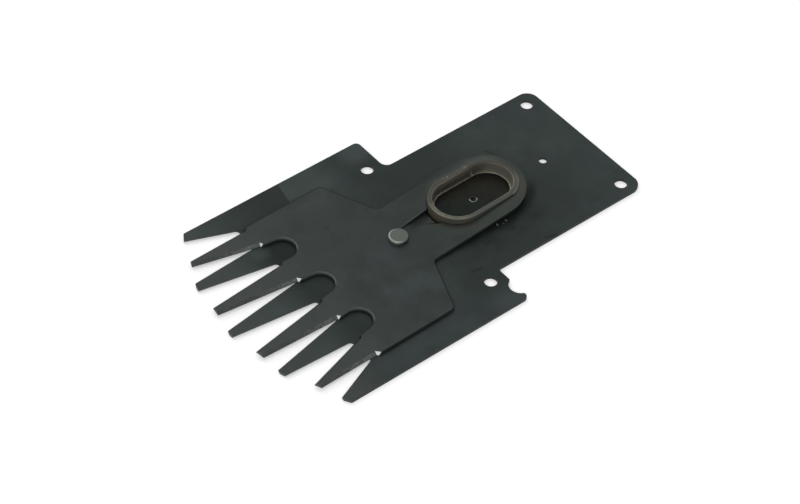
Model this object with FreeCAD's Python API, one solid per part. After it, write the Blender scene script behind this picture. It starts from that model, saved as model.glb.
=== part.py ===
import FreeCAD, Part
import math
import os

# Cutting head of a garden shear, in millimetres: a fixed comb plate with a mounting tang, and a
# shorter blade that swings on it about one rivet, driven through an oval collar in its tail.
# X runs across the head, Y from the teeth towards the tang, Z up from the underside of the comb.
# The origin is on the axis of the rivet, level with the underside.

# Sheets
plate_thickness = 1.0
blade_thickness = 1.0
running_gap = 0.05

# Comb plate: the head carries the teeth, the tang goes into the tool
head_width = 80.0
head_rear = 16.0
tang_width = 52.6
tang_end = 73.2
tang_corner = 3.8
head_corner = 1.6
left_shoulder_fillet = 2.5
right_shoulder_fillet = 1.2

# Holes of the comb plate. An inset is measured from the edges of the corner that holds the hole.
screw_hole = 3.9
head_hole_side_inset = 11.2
head_hole_rear_inset = 4.9
tang_hole_side_inset = 4.65
tang_hole_rear_inset = 4.9
locating_hole = 2.6
locating_hole_inset = 17.1

# Shallow dimple in the comb plate under the middle of the collar
dimple_width = 2.9
dimple_depth = 0.35

# Scallop in the right shoulder, with softened lips
scallop_radius = 3.4
scallop_side_inset = 5.2
scallop_depth = 2.3
scallop_lip = 0.6

# Teeth of both sheets are trimmed to large arcs
tip_arc = 72.0
comb_front = -60.5
blade_front = -59.6

# A flank is a pair: its distance from the middle of the sheet on the flank line, and the angle
# by which that distance shrinks towards the rear
flank_line = -44.0
comb_outer_tooth = (35.07, 21.7)
comb_side_tooth_outside = (22.41, -3.0)
comb_side_tooth_inside = (16.06, 11.45)
comb_middle_tooth = (3.4, -7.1)
blade_outer_tooth_outside = (30.5, -0.1)
blade_outer_tooth_inside = (25.67, 15.2)
blade_inner_tooth_outside = (12.71, -3.3)
blade_inner_tooth_inside = (6.64, 8.0)

# Gaps of the comb. Their sides lean back under the upper edges by the relief.
comb_side_root = -34.7
comb_middle_root = -33.2
comb_root_corner = 1.4
comb_relief = 0.6

# Gullets of the blade are punched slots with a round end, whose sides open towards the tips
gullet_radius = 4.3
middle_gullet_end = -24.8
side_gullet_end = -25.0
side_gullet_x = 17.6
middle_gullet_opening = 7.0
side_gullet_outer_opening = 9.0
side_gullet_inner_opening = -3.0

# The teeth of the blade are ground narrower and bevelled on top, from a shoulder to the tips.
# At the shoulder the grinding leaves the metal at an angle in degrees.
grinding_shoulder = -33.2
grinding_runout = 40.0
blade_bevel = 0.8

# Body and tail of the blade
blade_half_width = 31.0
blade_rear_corner = -4.8
blade_neck = 2.6
blade_corner_radius = 2.0
tail_bend_line = 4.0
tail_rise = 3.5

# Drive collar: an upright oval tube, let into the tail and welded
collar_y = 28.6
collar_slot_width = 14.8
collar_slot_length = 27.1
collar_wall = 1.5
collar_height = 3.6
collar_clearance = 0.2
collar_edge = 0.3
collar_lip = 0.8
collar_lip_height = 0.35
weld_gap = 0.02
tail_side_band = 4.1
tail_end_band = 2.05

# Welds: two tacks on the left side of the collar and a bead round its far right end
tack_radius = 0.9
tack_stations = (-3.4, 4.6)
bead_radius = 0.45
bead_angles = (15, 80)

# Spring tab: slit from the rivet to the collar, and left lying low while the tail rises
tab_slit = 0.25
tab_root_x = -2.7
tab_lip_x = -4.2
tab_end_x = 1.9
tab_fold_x = 3.0
tab_collar_gap = 0.9

# Rivet
rivet_shank = 4.0
rivet_head = 6.1
rivet_head_height = 1.2
rivet_head_edge = 0.5
rivet_foot = 5.4
rivet_fit = 0.02
bore_clearance = 0.05

# At rest the blade stands a little past the middle of its stroke
rest_turn = 1.0

# Worked out from the sizes above
blade_bottom = plate_thickness + running_gap
blade_top = blade_bottom + blade_thickness
collar_bottom = plate_thickness + collar_clearance
collar_outer_radius = collar_slot_width / 2 + collar_wall
collar_half_length = collar_slot_length / 2 + collar_wall
collar_bend = collar_half_length - collar_outer_radius
collar_near = collar_y - collar_half_length
tail_half_width = collar_outer_radius + tail_side_band
tail_end = collar_y + collar_half_length + tail_end_band
tab_end = collar_near - tab_collar_gap
ahead = 1.5 * comb_front
above = 4 * (blade_top + collar_height)

axis_x = FreeCAD.Vector(1, 0, 0)
axis_y = FreeCAD.Vector(0, 1, 0)
axis_z = FreeCAD.Vector(0, 0, 1)
origin = FreeCAD.Vector(0, 0, 0)


def polygon(points):
    return Part.makePolygon(points + points[:1])


def rounded_outline(corners):
    """Closed outline through (x, y, radius) corners. A radius above zero rounds its corner."""
    points = [FreeCAD.Vector(x, y, 0) for x, y, radius in corners]
    stretches = []
    for i, corner in enumerate(points):
        radius = corners[i][2]
        if radius == 0:
            stretches.append((corner, None, corner))
            continue
        back = points[i - 1] - corner
        on = points[(i + 1) % len(points)] - corner
        back.normalize()
        on.normalize()
        half_angle = back.getAngle(on) / 2
        setback = radius / math.tan(half_angle)
        inward = back + on
        inward.normalize()
        middle = corner + inward * (radius / math.sin(half_angle) - radius)
        stretches.append((corner + back * setback, middle, corner + on * setback))
    edges = []
    for i, (start, middle, end) in enumerate(stretches):
        if middle is not None:
            edges.append(Part.Arc(start, middle, end).toShape())
        following = stretches[(i + 1) % len(stretches)][0]
        edges.append(Part.LineSegment(end, following).toShape())
    return Part.Wire(edges)


def rounded_plate(corners, height):
    """Plate that stands on the ground with such an outline."""
    return Part.Face(rounded_outline(corners)).extrude(axis_z * height)


def hole(diameter, x, y):
    return Part.makeCylinder(diameter / 2, above, FreeCAD.Vector(x, y, 0))


def stadium(radius, bend, bottom, height):
    """Upright oval about the middle of the collar, with straight sides along Y."""
    near = collar_y - bend
    far = collar_y + bend
    near_left = FreeCAD.Vector(-radius, near, bottom)
    near_right = FreeCAD.Vector(radius, near, bottom)
    far_right = FreeCAD.Vector(radius, far, bottom)
    far_left = FreeCAD.Vector(-radius, far, bottom)
    near_end = FreeCAD.Vector(0, near - radius, bottom)
    far_end = FreeCAD.Vector(0, far + radius, bottom)
    outline = Part.Wire([
        Part.Arc(near_left, near_end, near_right).toShape(),
        Part.LineSegment(near_right, far_right).toShape(),
        Part.Arc(far_right, far_end, far_left).toShape(),
        Part.LineSegment(far_left, near_left).toShape(),
    ])
    return Part.Face(outline).extrude(axis_z * height)


def mirrored(shape):
    return shape.mirror(origin, axis_x)


def flank_x(flank, y):
    """Distance of a flank from the middle of the sheet at y."""
    distance, angle = flank
    return distance - (y - flank_line) * math.tan(math.radians(angle))


def trimmed(body, front):
    """Cuts the teeth of a sheet off along the tip arc, and keeps everything behind them."""
    arc = Part.makeCylinder(tip_arc, above, FreeCAD.Vector(0, front + tip_arc, 0))
    rear = Part.makeBox(head_width, tang_end, above, FreeCAD.Vector(-head_width / 2, 0, 0))
    return body.common(arc.fuse(rear))


def comb_gap(left, right, root):
    """Gap between two teeth of the comb, wider below by the relief. A side is (sign, flank)."""
    def corner(side, y, relief, radius):
        sign, flank = side
        return (sign * flank_x(flank, y) + relief, y, radius)

    outlines = []
    for height, relief in ((0, comb_relief), (plate_thickness, 0)):
        outline = rounded_outline([
            corner(left, ahead, -relief, 0),
            corner(right, ahead, relief, 0),
            corner(right, root, relief, comb_root_corner),
            corner(left, root, -relief, comb_root_corner),
        ])
        outline.translate(axis_z * height)
        outlines.append(outline)
    return Part.makeLoft(outlines, True, True)


def make_base_plate():
    half_head = head_width / 2
    half_tang = tang_width / 2
    body = rounded_plate([
        (-half_head, ahead, 0),
        (half_head, ahead, 0),
        (half_head, head_rear, head_corner),
        (half_tang, head_rear, right_shoulder_fillet),
        (half_tang, tang_end, tang_corner),
        (-half_tang, tang_end, tang_corner),
        (-half_tang, head_rear, left_shoulder_fillet),
        (-half_head, head_rear, head_corner),
    ], plate_thickness)
    body = trimmed(body, comb_front)

    side_gap = comb_gap((1, comb_side_tooth_outside), (1, comb_outer_tooth), comb_side_root)
    middle_gap = comb_gap((1, comb_middle_tooth), (1, comb_side_tooth_inside), comb_middle_root)
    for gap in (side_gap, middle_gap):
        body = body.cut([gap, mirrored(gap)])

    holes = [hole(locating_hole, 0, tang_end - locating_hole_inset)]
    for side in (-1, 1):
        head_hole_x = side * (half_head - head_hole_side_inset)
        tang_hole_x = side * (half_tang - tang_hole_side_inset)
        holes.append(hole(screw_hole, head_hole_x, head_rear - head_hole_rear_inset))
        holes.append(hole(screw_hole, tang_hole_x, tang_end - tang_hole_rear_inset))
    body = body.cut(holes)
    body = with_scallop(body)

    # The dimple is the cap of a ball
    half = dimple_width / 2
    ball = (half ** 2 + dimple_depth ** 2) / (2 * dimple_depth)
    ball_centre = FreeCAD.Vector(0, collar_y, plate_thickness - dimple_depth + ball)
    body = body.cut(Part.makeSphere(ball, ball_centre))
    return body.cut(rivet_core(rivet_fit))


def with_scallop(body):
    """Scallop cut into the right shoulder, with its two lips rounded."""
    x = head_width / 2 - scallop_side_inset
    y = head_rear - scallop_depth + scallop_radius
    body = body.cut(hole(2 * scallop_radius, x, y))
    half_chord = math.sqrt(scallop_radius ** 2 - (scallop_radius - scallop_depth) ** 2)
    lips = []
    for side in (-1, 1):
        lip = FreeCAD.Vector(x + side * half_chord, head_rear, plate_thickness / 2)
        lips.append(min(body.Edges, key=lambda edge: edge.CenterOfMass.distanceToPoint(lip)))
    return body.makeFillet(scallop_lip, lips)


def rivet_core(extra):
    """Shank with its cone-shaped foot, larger by extra all round."""
    shank_radius = rivet_shank / 2 + extra
    foot_radius = rivet_foot / 2 + extra
    cone = Part.makeCone(foot_radius, shank_radius, foot_radius - shank_radius)
    shank = Part.makeCylinder(shank_radius, blade_top + running_gap)
    return cone.fuse(shank)


def make_pivot_rivet():
    # Half section of the head: upright rim, rounded edge, flat top
    bottom = blade_top + running_gap
    top = bottom + rivet_head_height
    rim = rivet_head / 2
    flat = rim - rivet_head_edge
    shoulder = top - rivet_head_edge
    turn = rivet_head_edge * math.sin(math.radians(45))
    section = Part.Wire([
        Part.LineSegment(FreeCAD.Vector(0, 0, bottom), FreeCAD.Vector(rim, 0, bottom)).toShape(),
        Part.LineSegment(FreeCAD.Vector(rim, 0, bottom), FreeCAD.Vector(rim, 0, shoulder)).toShape(),
        Part.Arc(
            FreeCAD.Vector(rim, 0, shoulder),
            FreeCAD.Vector(flat + turn, 0, shoulder + turn),
            FreeCAD.Vector(flat, 0, top),
        ).toShape(),
        Part.LineSegment(FreeCAD.Vector(flat, 0, top), FreeCAD.Vector(0, 0, top)).toShape(),
        Part.LineSegment(FreeCAD.Vector(0, 0, top), FreeCAD.Vector(0, 0, bottom)).toShape(),
    ])
    head = Part.Face(section).revolve(origin, axis_z, 360)
    return head.fuse(rivet_core(0)).removeSplitter()


def sheet_bottom(y):
    """Height of the underside of the blade at y."""
    return blade_bottom + max(0, y - tail_bend_line) * math.tan(math.radians(tail_rise))


def bent_sheet():
    """Sheet as wide as the blade, level under the teeth and rising along the tail."""
    far = tail_end + tail_half_width
    under = [
        FreeCAD.Vector(-blade_half_width, ahead, blade_bottom),
        FreeCAD.Vector(-blade_half_width, tail_bend_line, blade_bottom),
        FreeCAD.Vector(-blade_half_width, far, sheet_bottom(far)),
    ]
    over = [point + axis_z * blade_thickness for point in reversed(under)]
    return Part.Face(polygon(under + over)).extrude(axis_x * 2 * blade_half_width)


def blade_outline():
    """Body with sloping rear edges, a neck and a tail with a round end."""
    tail_round = tail_end - tail_half_width
    right = [
        (blade_half_width, ahead, 0),
        (blade_half_width, blade_rear_corner, blade_corner_radius),
        (tail_half_width, blade_neck, blade_corner_radius),
        (tail_half_width, tail_round, 0),
    ]
    left = [(-x, y, radius) for x, y, radius in reversed(right)]
    return rounded_plate(right + left, above).fuse(hole(2 * tail_half_width, 0, tail_round))


def gullet(x, end, left_opening, right_opening):
    """Slot with a round end at the rear. Each side opens by its own angle, in degrees."""
    centre = FreeCAD.Vector(x, end - gullet_radius, 0)
    sides = []
    for sign, opening in ((-1, left_opening), (1, right_opening)):
        angle = math.radians(opening)
        outward = FreeCAD.Vector(sign * math.cos(angle), math.sin(angle), 0)
        touch = centre + outward * gullet_radius
        run = touch.y - ahead
        foot = FreeCAD.Vector(touch.x + sign * run * math.tan(angle), ahead, 0)
        sides.append((touch, foot))
    (left_touch, left_foot), (right_touch, right_foot) = sides
    outline = Part.Wire([
        Part.LineSegment(left_foot, left_touch).toShape(),
        Part.Arc(left_touch, centre + axis_y * gullet_radius, right_touch).toShape(),
        Part.LineSegment(right_touch, right_foot).toShape(),
        Part.LineSegment(right_foot, left_foot).toShape(),
    ])
    return Part.Face(outline).extrude(axis_z * above)


def ground_flank(flank, free_side):
    """Solid that grinds a flank of the blade, from the tips back to the shoulder.

    Its lower plane is the bevel, which rises from the cutting edge to the top of the blade. At the
    shoulder that plane turns up and leaves the metal. free_side is the sign of its X side.
    """
    start_x = flank_x(flank, grinding_shoulder)
    end_x = flank_x(flank, blade_front)
    corner = FreeCAD.Vector(start_x, grinding_shoulder, blade_bottom)
    top_start = FreeCAD.Vector(start_x - free_side * blade_bevel, grinding_shoulder, blade_top)
    top_end = FreeCAD.Vector(end_x - free_side * blade_bevel, blade_front, blade_top)
    along = top_end - top_start
    reach = 1.5 * along.Length
    along.normalize()
    normal = along.cross(corner - top_start)
    normal.normalize()
    if normal.x * free_side < 0:
        normal = normal * -1
    across = normal.cross(along)

    # Side view with the shoulder at the origin, X along the flank and Z away from the bevel
    depth = 1.5 * gullet_radius
    runout = blade_thickness / math.tan(math.radians(grinding_runout))
    side = [
        FreeCAD.Vector(0, -depth, 0),
        FreeCAD.Vector(reach, -depth, 0),
        FreeCAD.Vector(reach, -depth, depth),
        FreeCAD.Vector(-runout, -depth, depth),
        FreeCAD.Vector(-runout, -depth, blade_thickness),
    ]
    solid = Part.Face(polygon(side)).extrude(axis_y * 2 * depth)
    solid.Placement = FreeCAD.Placement(corner, FreeCAD.Rotation(along, across, normal, "XYZ"))
    return solid


def tab_cutout():
    """Cut that frees the tab: the slit on its left, and the opening between its end and the collar."""
    inside = collar_near + collar_outer_radius
    corners = [
        FreeCAD.Vector(tab_root_x, tail_bend_line, 0),
        FreeCAD.Vector(tab_lip_x, inside, 0),
        FreeCAD.Vector(tab_fold_x, inside, 0),
        FreeCAD.Vector(tab_fold_x, tab_end, 0),
    ]
    return Part.Face(polygon(corners)).extrude(axis_z * above)


def spring_tab():
    """Tab as thick as the blade: level along the slit, and rising to the fold on its right."""
    inside = collar_near + collar_outer_radius
    lip_lean = (tab_lip_x - tab_root_x) / (inside - tail_bend_line)
    tab_start_x = tab_root_x + (tab_end - tail_bend_line) * lip_lean + tab_slit
    low = [
        FreeCAD.Vector(tab_root_x, tail_bend_line, blade_bottom),
        FreeCAD.Vector(tab_start_x, tab_end, blade_bottom),
        FreeCAD.Vector(tab_end_x, tab_end, blade_bottom),
        FreeCAD.Vector(tab_fold_x, tab_end, sheet_bottom(tab_end)),
    ]
    high = [point + axis_z * blade_thickness for point in low]
    faces = []
    for root, start, end, fold in (low, high):
        faces.append(Part.Face(polygon([root, start, end])))
        faces.append(Part.Face(polygon([root, end, fold])))
    for i in range(len(low)):
        j = (i + 1) % len(low)
        faces.append(Part.Face(polygon([low[i], low[j], high[j], high[i]])))
    return Part.Solid(Part.Shell(faces))


def make_upper_blade():
    body = trimmed(bent_sheet().common(blade_outline()), blade_front)

    middle_slot = gullet(0, middle_gullet_end, middle_gullet_opening, middle_gullet_opening)
    side_slot = gullet(side_gullet_x, side_gullet_end, side_gullet_inner_opening, side_gullet_outer_opening)
    body = body.cut([middle_slot, side_slot, mirrored(side_slot)])

    flanks = [
        (blade_outer_tooth_outside, 1),
        (blade_outer_tooth_inside, -1),
        (blade_inner_tooth_outside, 1),
        (blade_inner_tooth_inside, -1),
    ]
    for flank, free_side in flanks:
        ground = ground_flank(flank, free_side)
        body = body.cut([ground, mirrored(ground)])

    body = body.cut(tab_cutout()).fuse(spring_tab())
    body = body.cut(stadium(collar_outer_radius + weld_gap, collar_bend, 0, above))
    body = body.cut(hole(rivet_shank + 2 * bore_clearance, 0, 0))
    body = body.removeSplitter()
    body.rotate(origin, axis_z, rest_turn)
    return body


def make_drive_collar():
    outer = stadium(collar_outer_radius, collar_bend, collar_bottom, collar_height)
    slot = stadium(collar_slot_width / 2, collar_bend, collar_bottom + collar_lip_height, above)
    throat = stadium(collar_slot_width / 2 - collar_lip, collar_bend, 0, above)
    ring = outer.cut([slot, throat])
    collar_top = collar_bottom + collar_height
    upper_rims = [edge for edge in ring.Edges if edge.BoundBox.ZMin > collar_top - collar_edge]
    ring = ring.makeFillet(collar_edge, upper_rims)

    welds = [weld_bead()]
    for station in tack_stations:
        y = collar_y + station
        tack_centre = FreeCAD.Vector(-collar_outer_radius, y, sheet_bottom(y) + blade_thickness)
        welds.append(Part.makeSphere(tack_radius, tack_centre))
    on_the_tail = [weld.cut([below_tail_top(), slot]) for weld in welds]
    ring = ring.fuse(on_the_tail).removeSplitter()
    ring.rotate(origin, axis_z, rest_turn)
    return ring


def below_tail_top():
    """Everything under the upper face of the tail."""
    far = tail_end + tail_half_width
    side = [
        FreeCAD.Vector(-tail_half_width, tail_bend_line, 0),
        FreeCAD.Vector(-tail_half_width, far, 0),
        FreeCAD.Vector(-tail_half_width, far, sheet_bottom(far) + blade_thickness),
        FreeCAD.Vector(-tail_half_width, tail_bend_line, blade_top),
    ]
    return Part.Face(polygon(side)).extrude(axis_x * 2 * tail_half_width)


def weld_bead():
    """Round bead along the foot of the collar's far end, level with the tail there."""
    start, end = bead_angles
    middle_y = collar_y + collar_bend + collar_outer_radius * math.sin(math.radians((start + end) / 2))
    level = sheet_bottom(middle_y) + blade_thickness
    centre = FreeCAD.Vector(0, collar_y + collar_bend, level)
    path_start = FreeCAD.Vector(collar_outer_radius, 0, 0)
    circle = Part.makeCircle(bead_radius, centre + path_start, axis_y)
    bead = Part.Face(Part.Wire([circle])).revolve(centre, axis_z, end - start)
    bead.rotate(centre, axis_z, start)
    tips = []
    for angle in (start, end):
        turned = FreeCAD.Vector(math.cos(math.radians(angle)), math.sin(math.radians(angle)), 0)
        tips.append(Part.makeSphere(bead_radius, centre + turned * collar_outer_radius))
    return bead.fuse(tips)


os.makedirs("parts", exist_ok=True)
nodes = {
    "base_plate": make_base_plate(),
    "pivot_rivet": make_pivot_rivet(),
    "upper_blade": make_upper_blade(),
    "drive_collar": make_drive_collar(),
}
for name, shape in nodes.items():
    shape.exportStep(f"parts/{name}.step")
    print(name, "valid" if shape.isValid() else "not valid", len(shape.Solids), round(shape.Volume, 2))
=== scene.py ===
import bpy
import bmesh
import math
from functools import cached_property
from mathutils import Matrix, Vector, noise


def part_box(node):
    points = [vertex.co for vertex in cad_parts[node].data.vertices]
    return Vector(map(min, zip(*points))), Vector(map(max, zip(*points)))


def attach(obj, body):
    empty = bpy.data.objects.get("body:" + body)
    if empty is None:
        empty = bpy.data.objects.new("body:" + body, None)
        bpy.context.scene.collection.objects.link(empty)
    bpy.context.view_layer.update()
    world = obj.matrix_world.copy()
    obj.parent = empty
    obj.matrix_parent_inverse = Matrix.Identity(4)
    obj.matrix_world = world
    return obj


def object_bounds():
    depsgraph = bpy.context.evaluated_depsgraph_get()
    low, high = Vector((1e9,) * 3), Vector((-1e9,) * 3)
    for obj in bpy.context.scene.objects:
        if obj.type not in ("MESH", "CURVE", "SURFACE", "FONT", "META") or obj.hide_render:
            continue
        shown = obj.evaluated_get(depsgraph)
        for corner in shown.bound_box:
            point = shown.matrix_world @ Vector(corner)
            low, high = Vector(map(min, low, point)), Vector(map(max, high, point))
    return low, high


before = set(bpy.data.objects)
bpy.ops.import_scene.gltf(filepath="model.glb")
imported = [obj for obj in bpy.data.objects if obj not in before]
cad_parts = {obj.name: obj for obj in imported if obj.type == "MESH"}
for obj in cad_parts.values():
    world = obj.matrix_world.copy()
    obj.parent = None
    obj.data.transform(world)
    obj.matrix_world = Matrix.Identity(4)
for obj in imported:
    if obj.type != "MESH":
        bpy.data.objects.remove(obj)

cad_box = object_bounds()

# Cutting head of a garden shear, lying on a white floor. The scene is in metres, in the frame of
# the model: X across the head, Y from the teeth towards the tang, Z up. The materials are written
# in millimetres in that frame.
MM = 0.001

# Places and sizes read from the frame
COMB_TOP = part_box("base_plate")[1][2]
COLLAR_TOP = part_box("drive_collar")[1][2]

# The blade rests turned by this angle in degrees. Its collar is an oval about a point on its middle
# line, made of two half circles of this radius whose centres lie this far before and behind it.
REST_TURN = 1.0
COLLAR_Y = 28.6
COLLAR_BEND = 6.15
COLLAR_RADIUS = 8.9

# In the blade's own frame: the centres of the round gullets, and the slit beside the tab, by its X
# at the rivet's axis and the change of X with Y
GULLETS = ((-17.6, -29.3), (0, -29.1), (17.6, -29.3))
SLIT_START = -2.37
SLIT_LEAN = -0.0813

# Rub marks on the comb, each by its X, Y, angle, length and width, and one dark spot on the blade
RUB_MARKS = ((-12.0, 45.3, 20, 5, 0.9), (22.9, 10.8, 75, 5, 1.3), (25.6, 37.1, 70, 5, 1.2))
BLADE_SPOT = (-15.8, -14.0, 40, 2.0, 1.4)

# Colours of the comb, as linear values like all below
COMB_GREY = (0.0346, 0.0442, 0.0408)
COMB_COOL = (0.0340, 0.0424, 0.0423)
COMB_PALE = (0.0488, 0.0610, 0.0605)
COMB_DARK = (0.0165, 0.0212, 0.0190)
COMB_SWEPT = (0.0115, 0.0160, 0.0140)
COMB_RIGHT_TIP = (0.048, 0.052, 0.049)
RUB_MARK = (0.0115, 0.0150, 0.0135)
# Partly stain, partly painted shadow of the tail beside its right edge
STAIN_AND_SHADOW = (0.0125, 0.0175, 0.0145)
TAIL_SHADE = (0.0060, 0.0088, 0.0078)
# Heat tint inside the collar, made dark as painted shade in the hollow
OLIVE_TINT_AND_SHADE = (0.0105, 0.0145, 0.0118)
BROWN_TINT_AND_SHADE = (0.0165, 0.0148, 0.0102)
DARK_TINT_AND_SHADE = (0.0085, 0.0102, 0.0096)
# Painted highlight on the dimple's lip, a painted glint, and painted shade in its pit
DIMPLE_LIP_HIGHLIGHT = (0.115, 0.135, 0.120)
DIMPLE_GLINT = (0.34, 0.38, 0.35)
DIMPLE_PIT_SHADE = (0.001, 0.0015, 0.001)
# Painted shade in crevices
CREVICE_SHADE = (0.0080, 0.0100, 0.0090)

# Colours of the blade
BLADE_GREY = (0.0332, 0.0401, 0.0371)
BLADE_COOL = (0.0328, 0.0391, 0.0377)
BLADE_WORN = (0.0470, 0.0535, 0.0505)
BLADE_DIM = (0.0228, 0.0283, 0.0258)
HEAT_HALO = (0.063, 0.068, 0.059)
HEAT_GREY = (0.0395, 0.0475, 0.0410)
HEAT_BROWN = (0.050, 0.047, 0.038)
# Painted shade and highlights at the tab and its slit
TAB_SHADE = (0.0060, 0.0082, 0.0070)
TAB_END_HIGHLIGHT = (0.100, 0.108, 0.094)
SLIT_SHADE = (0.0008, 0.0016, 0.0012)
SLIT_EDGE_HIGHLIGHT = (0.078, 0.085, 0.080)
# Bare ground steel, painted paler to make up for the light the leaning flanks miss
GROUND_STEEL_PAINTED_LIGHT = (0.130, 0.142, 0.135)
# Bare steel of the run-outs, painted up to a highlight
BARE_STEEL_HIGHLIGHT = (0.75, 0.77, 0.75)
# Painted shade on edges that face left or rear
FAR_EDGE_SHADE = (0.0070, 0.0085, 0.0080)
# Painted highlight on the tail's right edge
TAIL_EDGE_HIGHLIGHT = (0.150, 0.165, 0.152)
# Painted highlight on the gullets' rims, and painted light on their walls
GULLET_RIM_HIGHLIGHT = (0.080, 0.092, 0.084)
GULLET_WALL_PAINTED_LIGHT = (0.140, 0.150, 0.142)

# Colours of the edges, walls and tooth ends of both plates
EDGE_STEEL = (0.070, 0.075, 0.071)
WALL_STEEL = (0.052, 0.058, 0.053)
END_STEEL = (0.100, 0.108, 0.101)

# Colours of the collar
COLLAR_BROWN = (0.074, 0.067, 0.049)
COLLAR_DUSK = (0.048, 0.045, 0.036)
COLLAR_STRAW = (0.120, 0.108, 0.076)
COLLAR_RIM = (0.048, 0.051, 0.044)
COLLAR_RIM_FAR = (0.026, 0.029, 0.026)
# Painted highlights on the rim
COLLAR_RIDGE_HIGHLIGHT = (0.150, 0.150, 0.120)
COLLAR_GLINT = (0.185, 0.180, 0.140)
# Painted light on the near outer wall, and painted shade in the crease below
COLLAR_NEAR_WALL_LIT = (0.135, 0.126, 0.092)
COLLAR_RIGHT_WALL = (0.085, 0.090, 0.078)
COLLAR_CREASE_SHADE = (0.010, 0.011, 0.009)
# Painted light on the inner wall of the collar
COLLAR_INSIDE_PAINTED_LIGHT = (0.165, 0.158, 0.128)
COLLAR_SEAM = (0.30, 0.27, 0.20)
COLLAR_FOOT = (0.36, 0.34, 0.27)
COLLAR_EDGE = (0.13, 0.125, 0.10)
TACK_GLINT = (0.34, 0.34, 0.29)

# Colours of the rivet, the splashes of weld metal and the floor
RIVET_STEEL = (0.066, 0.074, 0.065)
RIVET_LIGHT = (0.070, 0.078, 0.070)
# Painted highlight on the rivet's edge
RIVET_EDGE_HIGHLIGHT = (0.21, 0.23, 0.21)
SPLASH_DARK = (0.012, 0.016, 0.018)
# Bright specks on the splashes, partly flecks and partly painted glints
SPLASH_FLECK_AND_GLINT = (0.24, 0.26, 0.26)
FLOOR_WHITE = (0.86, 0.86, 0.86)

# How metallic each surface is, the sheen of the two oxide skins, and the range of their roughness
OXIDE_METAL = 0.35
RIVET_METAL = 0.85
SPLASH_METAL = 0.8
PLATE_SHEEN = 0.04
COLLAR_SHEEN = 0.12
PLATE_ROUGH = (0.34, 0.42)
COLLAR_ROUGH = (0.36, 0.52)

# Depth of the bump in the surfaces, and the radius of the edges it rounds
BUMP_DEPTH = 0.02
SOFT_EDGE = 0.12

# Form of the splashes: how uneven they are, how fine the unevenness is and how it differs with the
# place, how much wider than long, how high for their size, and how far their middle is raised
SPLASH_SWELL = 0.35
SPLASH_LUMPS = 1.7
SPLASH_SEED = 900
SPLASH_WIDTH = 1.25
SPLASH_HEIGHT = 0.26
SPLASH_LIFT = 0.04

# Light: the floor and the studio are lifted to white for the eye and for reflections
FLOOR_LIFT = 0.30
STUDIO_LEVEL = 0.48
STUDIO_SEEN = 1.0


# Shader building

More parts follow.
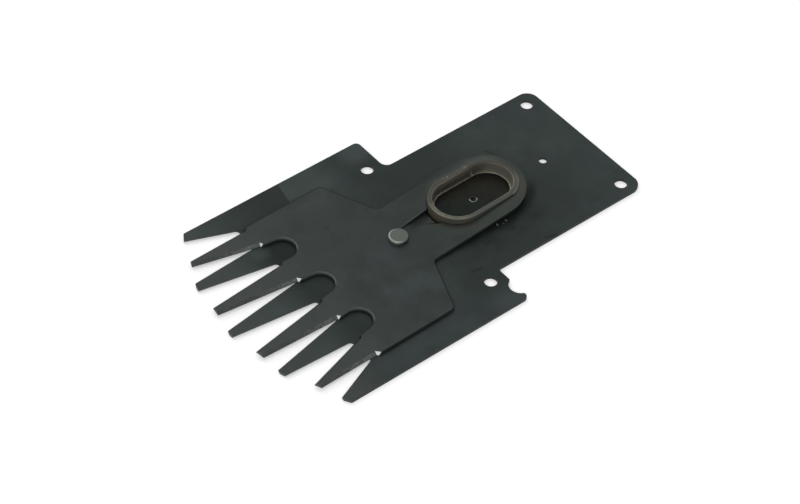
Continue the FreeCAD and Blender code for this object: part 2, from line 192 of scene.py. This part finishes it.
class Shader:
    """A material whose colour is painted on in layers. Places, sizes and distances are in
    millimetres in the frame of the object, and angles in degrees from X."""

    def __init__(self, name, colour):
        self.material = bpy.data.materials.new(name)
        self.material.use_nodes = True
        self.tree = self.material.node_tree
        self.surface = self.tree.nodes["Principled BSDF"]
        self.colour = colour
        scaled = self.add("ShaderNodeVectorMath", operation="SCALE")
        self.put(self.add("ShaderNodeTexCoord").outputs["Object"], scaled.inputs[0])
        self.put(1 / MM, scaled.inputs["Scale"])
        self.place = scaled.outputs["Vector"]
        self.x, self.y, self.z = self.separate(self.place)

    def add(self, kind, **settings):
        node = self.tree.nodes.new(kind)
        for key, value in settings.items():
            setattr(node, key, value)
        return node

    def put(self, value, socket):
        """Joins an output to a socket, or sets a plain value on it."""
        if isinstance(value, bpy.types.NodeSocket):
            self.tree.links.new(value, socket)
        elif hasattr(socket.default_value, "__len__"):
            filled = list(value) + [1.0] * (len(socket.default_value) - len(value))
            socket.default_value = filled
        else:
            socket.default_value = value

    def separate(self, vector):
        node = self.add("ShaderNodeSeparateXYZ")
        self.put(vector, node.inputs[0])
        return node.outputs[0], node.outputs[1], node.outputs[2]

    def math(self, operation, first, second=0.0):
        node = self.add("ShaderNodeMath", operation=operation)
        self.put(first, node.inputs[0])
        self.put(second, node.inputs[1])
        return node.outputs[0]

    def product(self, *factors):
        """Product of several masks."""
        result = factors[0]
        for factor in factors[1:]:
            result = self.math("MULTIPLY", result, factor)
        return result

    def step(self, value, low, high, out_low=0.0, out_high=1.0):
        """Smooth change from out_low at low to out_high at high."""
        node = self.add("ShaderNodeMapRange", interpolation_type="SMOOTHSTEP")
        self.put(value, node.inputs["Value"])
        node.inputs["From Min"].default_value = low
        node.inputs["From Max"].default_value = high
        node.inputs["To Min"].default_value = out_low
        node.inputs["To Max"].default_value = out_high
        return node.outputs["Result"]

    def blend(self, amount, first, second):
        """Colour that goes from first to second as amount goes from 0 to 1."""
        node = self.add("ShaderNodeMix", data_type="RGBA")
        self.put(amount, node.inputs[0])
        self.put(first, node.inputs[6])
        self.put(second, node.inputs[7])
        return node.outputs[2]

    def paint(self, colour, *masks):
        """Lays a colour over what is there, as strongly as the product of the masks."""
        self.colour = self.blend(self.product(*masks), self.colour, colour)

    def noise(self, size, detail=3.0, roughness=0.55, stretch=None, turn=0.0):
        """Noise whose blotches are about this size, stretched along X or Y if asked."""
        place = self.place
        if stretch is not None:
            mapping = self.add("ShaderNodeMapping")
            mapping.inputs["Rotation"].default_value = (0, 0, math.radians(turn))
            mapping.inputs["Scale"].default_value = stretch
            self.put(place, mapping.inputs["Vector"])
            place = mapping.outputs["Vector"]
        node = self.add("ShaderNodeTexNoise")
        self.put(place, node.inputs["Vector"])
        node.inputs["Scale"].default_value = 1 / size
        node.inputs["Detail"].default_value = detail
        node.inputs["Roughness"].default_value = roughness
        return node.outputs["Fac"]

    def blotches(self, size, low, high, out_low=0.0, out_high=1.0, **settings):
        """Noise that goes from out_low to out_high between two of its levels."""
        return self.step(self.noise(size, **settings), low, high, out_low, out_high)

    def length(self, across, along):
        """Length of a vector in plan."""
        squares = self.math("ADD", self.product(across, across), self.product(along, along))
        return self.math("SQRT", squares)

    def distance_to(self, x, y):
        """Distance in plan from (x, y)."""
        return self.length(self.math("SUBTRACT", self.x, x), self.math("SUBTRACT", self.y, y))

    def along(self, x, y, angle):
        """Plan coordinates about (x, y), along and across a line at an angle."""
        px = self.math("SUBTRACT", self.x, x)
        py = self.math("SUBTRACT", self.y, y)
        c = math.cos(math.radians(angle))
        s = math.sin(math.radians(angle))
        ahead = self.math("ADD", self.math("MULTIPLY", px, c), self.math("MULTIPLY", py, s))
        aside = self.math("SUBTRACT", self.math("MULTIPLY", py, c), self.math("MULTIPLY", px, s))
        return ahead, aside

    def dash(self, x, y, angle, length, width):
        """1 on a soft dash about (x, y), 0 outside."""
        ahead, aside = self.along(x, y, angle)
        in_length = self.step(self.math("ABSOLUTE", ahead), 0.5 * length, 0.25 * length)
        in_width = self.step(self.math("ABSOLUTE", aside), 0.7 * width, 0.2 * width)
        return self.product(in_length, in_width)

    def collar_distance(self):
        """Distance in plan outside the collar's outer wall, negative inside it."""
        turn = math.radians(REST_TURN)
        across = self.math("SUBTRACT", self.x, -COLLAR_Y * math.sin(turn))
        along = self.math("SUBTRACT", self.y, COLLAR_Y * math.cos(turn))
        beyond = self.math("SUBTRACT", self.math("ABSOLUTE", along), COLLAR_BEND)
        beyond = self.math("MAXIMUM", beyond, 0.0)
        return self.math("SUBTRACT", self.length(across, beyond), COLLAR_RADIUS)

    def object_normal(self, normal):
        """X, Y and Z of a normal, in the frame of the object."""
        turned = self.add("ShaderNodeVectorTransform", vector_type="NORMAL",
                          convert_from="WORLD", convert_to="OBJECT")
        self.put(normal, turned.inputs[0])
        return self.separate(turned.outputs[0])

    @cached_property
    def face_normal(self):
        """Normal of the flat face itself, in the frame of the object."""
        return self.object_normal(self.add("ShaderNodeNewGeometry").outputs["True Normal"])

    def rounded_normal(self, radius, samples=6):
        """Normal as if the edges were rounded to this radius."""
        node = self.add("ShaderNodeBevel", samples=samples)
        node.inputs["Radius"].default_value = radius * MM
        return node.outputs[0]

    def worn_edges(self, radius):
        """1 on sharp edges, falling to 0 within radius of them."""
        flat = self.add("ShaderNodeNewGeometry")
        dot = self.add("ShaderNodeVectorMath", operation="DOT_PRODUCT")
        self.put(self.rounded_normal(radius), dot.inputs[0])
        self.put(flat.outputs["Normal"], dot.inputs[1])
        return self.step(dot.outputs["Value"], 0.99, 0.80)

    def far_edges(self, radius):
        """1 on top edges that look to the left or the rear, 0 a little inside them."""
        normal = self.object_normal(self.rounded_normal(radius, samples=8))
        leftwards = self.step(normal[0], -0.15, -0.40)
        rearwards = self.step(normal[1], 0.15, 0.40)
        return self.math("MAXIMUM", leftwards, rearwards)

    def crevice(self, reach):
        """1 where another surface stands close over this one, 0 in the open."""
        hidden = self.add("ShaderNodeAmbientOcclusion", samples=8)
        hidden.inputs["Distance"].default_value = reach * MM
        return self.step(hidden.outputs["AO"], 0.85, 0.45)

    def walls(self):
        """1 on upright faces, 0 on the flat ones."""
        return self.step(self.math("ABSOLUTE", self.face_normal[2]), 0.25, 0.15)

    def tooth_ends(self):
        """1 on the blunt ends of the teeth."""
        forwards = self.step(self.face_normal[1], -0.75, -0.90)
        return self.product(forwards, self.step(self.y, -46, -50))

    def bump(self, height, strength):
        """Bump over edges that are rounded a little, as punched sheet is."""
        node = self.add("ShaderNodeBump")
        node.inputs["Strength"].default_value = strength
        node.inputs["Distance"].default_value = BUMP_DEPTH * MM
        self.put(height, node.inputs["Height"])
        self.put(self.rounded_normal(SOFT_EDGE), node.inputs["Normal"])
        self.put(node.outputs[0], self.surface.inputs["Normal"])

    def finish(self, metal, rough, sheen=0.5):
        """Sets the painted colour and the other values on the shader, and returns the material."""
        self.put(self.colour, self.surface.inputs["Base Color"])
        self.put(metal, self.surface.inputs["Metallic"])
        self.put(rough, self.surface.inputs["Roughness"])
        self.put(sheen, self.surface.inputs["Specular IOR Level"])
        return self.material


def blued_shader(name, plain, cool):
    """Blued steel: slate grey that drifts between a green and a cool tint in wide patches."""
    shader = Shader(name, plain)
    shader.paint(cool, shader.blotches(24, 0.38, 0.64, detail=2.0))
    shader.paint(COMB_DARK, shader.blotches(8, 0.36, 0.72, 0.0, 0.34, detail=5.0, roughness=0.6))
    shader.paint(COMB_PALE, shader.blotches(13, 0.45, 0.72, 0.0, 0.38, detail=5.0, roughness=0.6))
    return shader


def finish_oxide(shader, rough_range, sheen):
    """Sheen, fine grain and rolling marks of an oxide skin."""
    grain = shader.noise(0.35, detail=5.0, roughness=0.7)
    rolling = shader.noise(0.5, stretch=(1.0, 0.06, 1.0))
    shader.bump(shader.math("ADD", grain, shader.math("MULTIPLY", rolling, 0.6)), 0.25)
    rough = shader.blotches(4, 0.3, 0.7, *rough_range, detail=4.0)
    return shader.finish(OXIDE_METAL, rough, sheen)


# The comb

def comb_material():
    """Blued comb plate: rubbed darker under the teeth of the blade, and lighter at its own tips."""
    shader = blued_shader("comb_blued_steel", COMB_GREY, COMB_COOL)
    step = shader.step
    x, y = shader.x, shader.y

    # Paler tips, a darker middle that thins out over the tang, and a darker right front
    shader.paint(BLADE_WORN, step(y, -34, -56, 0.0, 0.65))
    shader.paint(COMB_DARK, step(y, -6, 8), step(y, 52, 28, 0.15, 0.65))
    shader.paint(COMB_DARK, step(x, 22, 34), step(y, 6, -6, 0.0, 0.22), step(y, -44, -34))
    shader.paint(COMB_RIGHT_TIP, step(x, 32, 36), step(y, -34, -46, 0.0, 0.5))

    # Paler left side, and paler rear corners of the head
    shader.paint(COMB_PALE, step(x, -28, -32), step(y, 4, -6, 0.0, 0.22))
    shader.paint(COMB_PALE, step(x, -30, -36), step(y, 4, 12, 0.0, 0.6))
    shader.paint(COMB_PALE, step(x, 29, 38), step(y, 1, 9, 0.0, 0.5))

    # The blade's teeth sweep a band that runs from between the comb's gaps to behind their roots.
    # A spot in the left gullet is spared
    under_blade = step(shader.math("ABSOLUTE", x), 33, 30)
    spared = step(shader.distance_to(-20.2, -35.6), 1.2, 4.6, 0.15, 1.0)
    shader.paint(COMB_SWEPT, step(y, -44, -31, 0.0, 0.95), under_blade, step(y, -8, -16),
                 step(x, -16, 4, 1.0, 0.68), spared)

    # The left outer tooth is darker, from a soft-edged line towards its tip
    line = shader.math("ADD", y, shader.math("MULTIPLY", x, 0.18))
    shader.paint(COMB_DARK, step(line, -21.2, -21.7), step(x, -29, -32), step(y, -57, -20, 0.0, 0.85))

    for mark in RUB_MARKS:
        shader.paint(RUB_MARK, shader.dash(*mark), 0.55)

    paint_heat_stain_and_shade(shader)
    paint_dimple(shader)

    # Painted shade where another surface stands close over the comb
    shader.paint(CREVICE_SHADE, shader.crevice(1.2), 0.75)
    shader.paint(WALL_STEEL, shader.walls(), 0.7)
    shader.paint(EDGE_STEEL, shader.worn_edges(0.20), shader.blotches(1.6, 0.40, 0.66, 0.15, 0.60))
    shader.paint(END_STEEL, shader.tooth_ends(), 0.9)
    return finish_oxide(shader, PLATE_ROUGH, PLATE_SHEEN)


def paint_heat_stain_and_shade(shader):
    """Dark blotchy stain that welding heat left on the comb beside the tail, deepened there by painted
    shadow, a darker patch behind the collar that is painted shade by its far end, and painted shadow
    close to the tail's edge. Inside the collar the sheet is heat-tinted and darkened by painted shade."""
    step = shader.step
    x, y = shader.x, shader.y
    # Blotches beside the tail's right edge: partly stain, partly painted shadow of the tail
    stain_and_shadow_blotches = shader.blotches(4.0, 0.38, 0.66, 0.20, 0.80, detail=4.0)
    shader.paint(STAIN_AND_SHADOW, step(x, 10, 13), step(x, 23, 16), step(y, 11, 16), step(y, 45, 38), stain_and_shadow_blotches)
    # Darker patch behind the collar, painted shade next to its far end and fading over the tang
    shader.paint(COMB_DARK, step(shader.distance_to(12, 47), 21, 4, 0.0, 0.50))
    outside = shader.collar_distance()
    # Painted shadow along the tail's edge, deepest round its far end
    shader.paint(TAIL_SHADE, step(outside, 6.4, 3.6, 0.0, 0.8), step(x, 3, 8), step(y, 34, 41, 0.25, 1.0))

    # Olive heat tint inside the collar, browner at the left and the far end, darkened as painted shade in the
    # hollow
    towards_far_left = shader.along(0, COLLAR_Y, 150)[0]
    tint_and_shade = shader.blend(step(towards_far_left, -4, 5), OLIVE_TINT_AND_SHADE, BROWN_TINT_AND_SHADE)
    tint_and_shade = shader.blend(shader.blotches(3.0, 0.38, 0.66, 0.0, 0.5, detail=4.0), tint_and_shade, DARK_TINT_AND_SHADE)
    shader.paint(tint_and_shade, step(outside, 0.5, -2.0))


def paint_dimple(shader):
    """Painted highlight on the dimple's lip, brightest in front, with a painted glint, and painted
    shade in its pit, dark at the left.
    """
    step = shader.step
    radius = shader.distance_to(0, COLLAR_Y)
    lip = shader.product(step(radius, 0.80, 1.0), step(radius, 1.35, 1.15))
    right, ahead = shader.along(0, COLLAR_Y, 0)
    front_right = shader.along(0, COLLAR_Y, -35)[0]
    # Painted highlight on the lip, and a painted glint in front
    shader.paint(DIMPLE_LIP_HIGHLIGHT, lip, step(right, -0.3, 0.3, 0.12, 1.0))
    shader.paint(DIMPLE_GLINT, lip, step(ahead, -0.1, -0.8), step(front_right, -0.4, 0.3))
    # Painted shade in the pit
    shader.paint(DIMPLE_PIT_SHADE, step(radius, 0.95, 0.70), step(right, 0.3, -0.3, 0.0, 0.9))


# The blade

def blade_material():
    """Blued blade with bare ground flanks made paler as painted light, heat tint round the collar, and
    painted shade and highlights at its slit, edges and gullets.
    """
    shader = blued_shader("blade_blued_steel", BLADE_GREY, BLADE_COOL)
    step = shader.step
    x, y = shader.x, shader.y
    blade_x, blade_y = shader.along(0, 0, REST_TURN)

    # Worn tips, a dimmer neck and left side of the tail, and one dark spot
    shader.paint(BLADE_WORN, step(y, -14, -54, 0.0, 0.85))
    left_of_tail = shader.product(step(x, -6, -10), step(y, 2, 12), 0.6)
    shader.paint(BLADE_DIM, shader.math("MAXIMUM", step(y, -8, 8, 0.0, 0.35), left_of_tail))
    shader.paint(COMB_DARK, shader.dash(*BLADE_SPOT), 0.35)

    paint_heat_tint(shader)
    paint_slit(shader, blade_x, blade_y)
    paint_flanks(shader)

    walls = shader.walls()
    shader.paint(WALL_STEEL, walls, 0.6)
    shader.paint(EDGE_STEEL, shader.worn_edges(0.20), shader.blotches(1.3, 0.38, 0.62, 0.15, 0.60))

    # Painted shade on the edges along the left and the rear, and a painted highlight on the tail's right edge
    shader.paint(FAR_EDGE_SHADE, shader.far_edges(0.85), step(y, 26, 10, 0.3, 0.9))
    flat = step(shader.face_normal[2], 0.5, 0.8)
    # Painted highlight along the tail's right edge
    shader.paint(TAIL_EDGE_HIGHLIGHT, shader.worn_edges(0.32), flat, step(x, 10, 11.5), step(y, 12, 20, 0.0, 0.6))

    for gullet_x, gullet_y in GULLETS:
        across = shader.math("SUBTRACT", blade_x, gullet_x)
        along = shader.math("SUBTRACT", blade_y, gullet_y)
        paint_gullet(shader, across, along, flat, walls)

    # The run-outs of the grinding on the right flanks are bare steel, painted up to a highlight. No other
    # face leans as they do
    lean_x, lean_y, lean_z = shader.face_normal
    shader.paint(BARE_STEEL_HIGHLIGHT, step(lean_y, -0.40, -0.50), step(lean_z, 0.25, 0.35),
                 step(lean_z, 0.80, 0.70), step(lean_x, 0.0, 0.15))
    shader.paint(END_STEEL, shader.tooth_ends(), 0.9)
    return finish_oxide(shader, PLATE_ROUGH, PLATE_SHEEN)


def paint_heat_tint(shader):
    """A halo round the collar on the tail, pale at the left, grey at the right and brown nearest the
    welds at its ends."""
    step = shader.step
    x, y = shader.x, shader.y
    uneven = shader.math("MULTIPLY", shader.math("SUBTRACT", shader.noise(3), 0.5), 1.6)
    outside = shader.math("ADD", shader.collar_distance(), uneven)
    shader.paint(HEAT_HALO, step(outside, 3.2, 0.4, 0.0, 0.75), step(x, -4, -8, 0.3, 1.0),
                 step(y, 17, 23, 0.15, 1.0))
    shader.paint(HEAT_GREY, step(outside, 5.0, 3.0, 0.0, 0.55), step(x, 4, 9))
    far_end = shader.product(step(y, 36, 40), step(x, 2, 5))
    near_end = shader.product(step(y, 22, 19), step(x, -3, 1))
    shader.paint(HEAT_BROWN, step(outside, 3.3, 0.4, 0.0, 0.8), shader.math("MAXIMUM", far_end, near_end))


def paint_slit(shader, blade_x, blade_y):
    """Painted shade on the tab where it lies low beside its slit, and a painted highlight on its end."""
    step = shader.step
    slit_x = shader.math("ADD", SLIT_START, shader.math("MULTIPLY", blade_y, SLIT_LEAN))
    from_slit = shader.math("SUBTRACT", blade_x, slit_x)
    # Painted shade on the tab beside its slit
    shader.paint(TAB_SHADE, step(from_slit, 4.2, 1.2), step(from_slit, -0.1, 0.1),
                 step(blade_y, 2.5, 8.5, 0.0, 0.90), step(blade_y, 12.7, 12.6))

    # The deepest painted shade is a wedge that widens towards the collar, beside a painted highlight on the
    # slit's edge
    widening = step(blade_y, 2.0, 12.0, 0.60, 1.35)
    reach = shader.math("DIVIDE", shader.math("ABSOLUTE", from_slit), widening)
    shader.paint(SLIT_SHADE, step(reach, 1.15, 0.45), step(blade_y, 2.8, 3.6),
                 step(from_slit, -0.15, -0.05), step(blade_y, 14.5, 13.5))
    # Painted highlight along the slit's edge
    shader.paint(SLIT_EDGE_HIGHLIGHT, step(from_slit, -0.55, -0.40), step(from_slit, -0.10, -0.20),
                 step(blade_y, 2.5, 4.0, 0.0, 0.35), step(blade_y, 14.0, 12.5))
    # Painted highlight on the tab's end
    shader.paint(TAB_END_HIGHLIGHT, step(blade_y, 12.15, 12.45), step(blade_y, 12.85, 12.75),
                 step(blade_x, -1.6, -0.6), step(blade_x, 3.2, 2.4))


def paint_flanks(shader):
    """The ground flanks are bare too near the run-outs, and blued towards the tips. Their colour is painted
    paler so that the leaning faces come out as light as the top.
    """
    step = shader.step
    lean_z = shader.face_normal[2]
    streaks = shader.blotches(0.30, 0.36, 0.62, 0.25, 1.15, stretch=(1.0, 0.25, 1.0))
    # Bare ground steel on the flanks, painted paler as light
    shader.paint(GROUND_STEEL_PAINTED_LIGHT, step(lean_z, 0.40, 0.50), step(lean_z, 0.90, 0.80),
                 step(shader.y, -32.2, -33.2), step(shader.y, -50, -35, 0.28, 0.95), streaks)


def paint_gullet(shader, across, along, flat, walls):
    """Painted highlight on the rim round the rear of a gullet, and painted light on the wall below it, paler
    towards the top.
    """
    step = shader.step
    from_centre = shader.length(across, along)
    rear_right = step(shader.math("ADD", across, along), -5, 4, 0.25, 1.0)
    rear_left = step(shader.math("SUBTRACT", along, shader.math("MULTIPLY", across, 0.6)), 0.2, 2.6)
    # Painted highlight on the rear rim
    shader.paint(GULLET_RIM_HIGHLIGHT, step(from_centre, 4.80, 4.55), step(along, -0.4, 1.2),
                 flat, rear_right, rear_left)
    # Painted light on the shaded wall, paler towards the top
    shader.paint(GULLET_WALL_PAINTED_LIGHT, walls, step(from_centre, 6.6, 5.6), step(shader.z, 1.1, 2.0, 0.35, 1.0))


# The collar

def collar_material():
    """Heat-tinted tube: bronze brown walls with painted light and shade, a pale line at the foot, and a
    rim with painted highlights.
    """
    shader = Shader("collar_heat_tinted_steel", COLLAR_BROWN)
    step = shader.step
    shader.paint(COLLAR_DUSK, shader.blotches(2.6, 0.36, 0.66, detail=4.0))
    straw = shader.blotches(5.0, 0.46, 0.66, 0.0, 0.7, detail=2.0)
    shader.paint(COLLAR_STRAW, straw, step(shader.y, 24, 16, 0.25, 1.0))

    top = COLLAR_TOP / MM
    outside = shader.collar_distance()
    towards_near_end = shader.along(0, COLLAR_Y, -70)[0]
    paint_rim(shader, top, outside, towards_near_end)
    paint_outer_wall(shader, top, outside, towards_near_end)
    paint_inner_wall(shader, top, outside)
    shader.paint(COLLAR_EDGE, shader.worn_edges(0.22), 0.4)

    # Small glints on the two tacks at the left
    near_tack = step(shader.distance_to(-9.9, 25.5), 1.5, 0.7)
    far_tack = step(shader.distance_to(-9.9, 32.6), 1.7, 0.7)
    specks = shader.blotches(0.45, 0.56, 0.64, detail=2.0)
    shader.paint(TACK_GLINT, shader.math("MAXIMUM", near_tack, far_tack), specks)
    return finish_oxide(shader, COLLAR_ROUGH, COLLAR_SHEEN)


def paint_rim(shader, top, outside, towards_near_end):
    """Rim with a painted highlight along each side and a brown groove between, brightest at the near
    end, and duller at the left."""
    step = shader.step
    x, y = shader.x, shader.y
    rim = step(shader.z, top - 0.42, top - 0.10)
    shader.paint(COLLAR_RIM, rim, shader.blotches(1.1, 0.34, 0.62, 0.80, 1.0, detail=5.0))

    inner_ridge = shader.product(step(outside, -1.50, -1.30), step(outside, -0.95, -1.15))
    outer_ridge = shader.product(step(outside, -0.60, -0.40), step(outside, 0.05, -0.15), 0.8)
    groove = shader.product(step(outside, -1.05, -0.92), step(outside, -0.50, -0.64))
    ridges = shader.math("MAXIMUM", inner_ridge, outer_ridge)
    ends = shader.math("MAXIMUM", step(towards_near_end, 8, 14, 0.1, 1.0), step(y, 36, 41, 0.0, 0.2))
    # Painted highlights on the rim and its ridges, strongest at the near end
    shader.paint(COLLAR_RIDGE_HIGHLIGHT, rim, ends, 0.45)
    shader.paint(COLLAR_GLINT, rim, ridges, ends, shader.blotches(1.6, 0.38, 0.60, 0.15, 1.0))
    shader.paint(COLLAR_BROWN, rim, groove, ends, 0.6)

    shader.paint(COLLAR_RIM_FAR, rim, step(x, 4, 0), step(y, 30, 34, 0.0, 0.55))
    shader.paint(COLLAR_DUSK, rim, step(x, -1, -5), step(y, 30, 22, 0.4, 0.9))


def paint_outer_wall(shader, top, outside, towards_near_end):
    """Straw-coloured towards the top at the near end, lightened there by painted light, as grey as the rim
    at the right, and dark with painted shade in the crease with the tail."""
    step = shader.step
    outer = step(outside, -0.35, -0.10)
    # Painted light on the near wall, paler towards the top
    shader.paint(COLLAR_NEAR_WALL_LIT, outer, step(towards_near_end, 9, 13),
                 step(shader.z, 2.0, top - 0.5, 0.35, 0.9))
    shader.paint(COLLAR_RIGHT_WALL, outer, step(shader.x, 1, 5), 0.85)
    # Painted shade in the crease with the tail
    shader.paint(COLLAR_CREASE_SHADE, shader.crevice(0.7), outer,
                 step(towards_near_end, 14, 10, 0.15, 1.0), 0.6)


def paint_inner_wall(shader, top, outside):
    """Paler towards the rim and at the far end as painted light, with a seam at the left. A pale line
    runs along the foot, brightest at the far end."""
    step = shader.step
    y, z = shader.y, shader.z
    inner = step(outside, -1.30, -1.45)
    high = step(z, 2.0, top - 0.6, 0.0, 0.75)
    # Painted light on the shaded inner wall
    shader.paint(COLLAR_INSIDE_PAINTED_LIGHT, inner, shader.math("MAXIMUM", high, step(y, 34, 40)))
    shader.paint(COLLAR_SEAM, inner, step(y, 34.0, 34.3), step(y, 34.9, 34.6), step(z, 2.9, 2.5),
                 step(shader.x, -4, -6), 0.7)
    shader.paint(COLLAR_FOOT, step(outside, -1.9, -2.15), step(z, 1.65, 1.58),
                 shader.blotches(2.2, 0.36, 0.62, 0.55, 1.0), step(y, 33, 40, 0.45, 1.0))


# The rivet and the splashes of weld metal

def rivet_material():
    """Plain steel with a brushed face, and a painted highlight on its rounded edge, brightest in front."""
    shader = Shader("rivet_plain_steel", RIVET_STEEL)
    brushed = shader.noise(0.5, stretch=(1.0, 0.15, 1.0), turn=35)
    shader.paint(RIVET_LIGHT, shader.step(brushed, 0.3, 0.7, 0.0, 0.4))
    edge = shader.step(shader.distance_to(0, 0), 2.35, 2.75)
    frontwards = shader.along(0, 0, -105)[0]
    # Painted highlight on the rounded edge, strongest in front
    shader.paint(RIVET_EDGE_HIGHLIGHT, edge, shader.step(frontwards, -1.2, 1.8, 0.08, 0.95))
    shader.bump(brushed, 0.15)
    return shader.finish(RIVET_METAL, shader.blotches(1.2, 0.3, 0.7, 0.36, 0.50))


def spatter_material():
    """Spattered weld metal: dark scale with bright specks, partly flecks and partly painted glints."""
    shader = Shader("weld_spatter", SPLASH_DARK)
    specks = shader.noise(0.25)
    shader.paint(SPLASH_FLECK_AND_GLINT, shader.step(specks, 0.4, 0.6))
    return shader.finish(SPLASH_METAL, shader.step(specks, 0.3, 0.7, 0.25, 0.5))


def dress(node, material):
    """Gives a node of the frame its material in place of the plain one."""
    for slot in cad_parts[node].material_slots:
        slot.material = material


def spatter(name, x, y, size, material):
    """Small flat splash of weld metal on the comb, lower than the gap under the collar."""
    mesh = bpy.data.meshes.new(name)
    form = bmesh.new()
    bmesh.ops.create_icosphere(form, subdivisions=3, radius=1.0)
    seed = Vector((x, y, 0)) * SPLASH_SEED
    for vertex in form.verts:
        direction = vertex.co.normalized()
        swell = 1 + SPLASH_SWELL * noise.noise(direction * SPLASH_LUMPS + seed)
        place = direction * swell * size
        height = COMB_TOP + SPLASH_LIFT * size + SPLASH_HEIGHT * place.z
        vertex.co = (x + SPLASH_WIDTH * place.x, y + place.y, height)
    form.to_mesh(mesh)
    form.free()
    for polygon in mesh.polygons:
        polygon.use_smooth = True
    bead = bpy.data.objects.new(name, mesh)
    bpy.context.scene.collection.objects.link(bead)
    mesh.materials.append(material)
    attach(bead, "comb")


# Materials of the frame's nodes

dress("base_plate", comb_material())
dress("upper_blade", blade_material())
dress("drive_collar", collar_material())
dress("pivot_rivet", rivet_material())

# Splashes of weld metal on the comb, to the right of the collar

splash_material = spatter_material()
spatter("spatter_near", 12.3 * MM, 27.4 * MM, 0.42 * MM, splash_material)
spatter("spatter_far", 12.5 * MM, 30.6 * MM, 0.38 * MM, splash_material)
spatter("spatter_small", 13.1 * MM, 29.2 * MM, 0.16 * MM, splash_material)


# Floor and light

def seen_rays(tree):
    """1 for rays of the eye, of reflections and of clear materials, 0 for those that light."""
    rays = tree.nodes.new("ShaderNodeLightPath")
    direct = tree.nodes.new("ShaderNodeMath")
    direct.operation = "MAXIMUM"
    tree.links.new(rays.outputs["Is Camera Ray"], direct.inputs[0])
    tree.links.new(rays.outputs["Is Glossy Ray"], direct.inputs[1])
    seen = tree.nodes.new("ShaderNodeMath")
    seen.operation = "MAXIMUM"
    tree.links.new(direct.outputs[0], seen.inputs[0])
    tree.links.new(rays.outputs["Is Transmission Ray"], seen.inputs[1])
    return seen.outputs[0]


def make_floor():
    """White floor. Seen directly or in a reflection it is lifted to white, and keeps its shadows."""
    mesh = bpy.data.meshes.new("floor")
    half = 3.0
    level = cad_box[0][2] - 0.03 * MM
    mesh.from_pydata([(-half, -half, level), (half, -half, level), (half, half, level), (-half, half, level)],
                     [], [(0, 1, 2, 3)])
    floor = bpy.data.objects.new("floor", mesh)
    bpy.context.scene.collection.objects.link(floor)
    material = bpy.data.materials.new("floor_white")
    material.use_nodes = True
    tree = material.node_tree
    surface = tree.nodes["Principled BSDF"]
    surface.inputs["Base Color"].default_value = (*FLOOR_WHITE, 1)
    surface.inputs["Roughness"].default_value = 0.9
    surface.inputs["Specular IOR Level"].default_value = 0.0
    surface.inputs["Emission Color"].default_value = (1, 1, 1, 1)
    lift = tree.nodes.new("ShaderNodeMath")
    lift.operation = "MULTIPLY"
    tree.links.new(seen_rays(tree), lift.inputs[0])
    lift.inputs[1].default_value = FLOOR_LIFT
    tree.links.new(lift.outputs[0], surface.inputs["Emission Strength"])
    mesh.materials.append(material)


def make_studio():
    """White room: at full strength for the eye and for reflections, softer as a light."""
    world = bpy.data.worlds.new("studio")
    bpy.context.scene.world = world
    world.use_nodes = True
    tree = world.node_tree
    level = tree.nodes.new("ShaderNodeMapRange")
    tree.links.new(seen_rays(tree), level.inputs["Value"])
    level.inputs["To Min"].default_value = STUDIO_LEVEL
    level.inputs["To Max"].default_value = STUDIO_SEEN
    background = tree.nodes["Background"]
    background.inputs["Color"].default_value = (1.0, 1.0, 1.0, 1)
    tree.links.new(level.outputs["Result"], background.inputs["Strength"])


def soft_light(name, azimuth, elevation, distance, size, level):
    """Square lamp that faces the object. Azimuth 0 is +X, and 90 is +Y. The level is the share of
    its written colour that a white sheet facing the lamp would show."""
    data = bpy.data.lights.new(name, "AREA")
    data.shape = "SQUARE"
    data.size = size
    data.energy = level * math.pi ** 2 * distance ** 2
    lamp = bpy.data.objects.new(name, data)
    bpy.context.scene.collection.objects.link(lamp)
    a = math.radians(azimuth)
    e = math.radians(elevation)
    direction = Vector((math.cos(e) * math.cos(a), math.cos(e) * math.sin(a), math.sin(e)))
    lamp.location = direction * distance
    lamp.rotation_euler = direction.to_track_quat("Z", "Y").to_euler()


make_floor()
make_studio()
soft_light("top_light", 110, 64, 3.0, 2.4, 0.14)
soft_light("key_light", 172, 30, 3.2, 2.4, 0.34)
soft_light("fill_light", 305, 40, 3.2, 2.4, 0.32)

# Camera, at the photograph's angle

camera_data = bpy.data.cameras.new("camera")
camera_data.sensor_width = 36.0
camera_data.lens = 110.25
camera_data.clip_start = 0.05
camera_data.clip_end = 20.0
camera = bpy.data.objects.new("camera", camera_data)
bpy.context.scene.collection.objects.link(camera)
camera.location = (0.37737, -0.32303, 0.51666)
camera.rotation_euler = (math.radians(43.6361), math.radians(-1.7982), math.radians(51.2463))
bpy.context.scene.camera = camera

bpy.context.scene.view_settings.view_transform = "Standard"
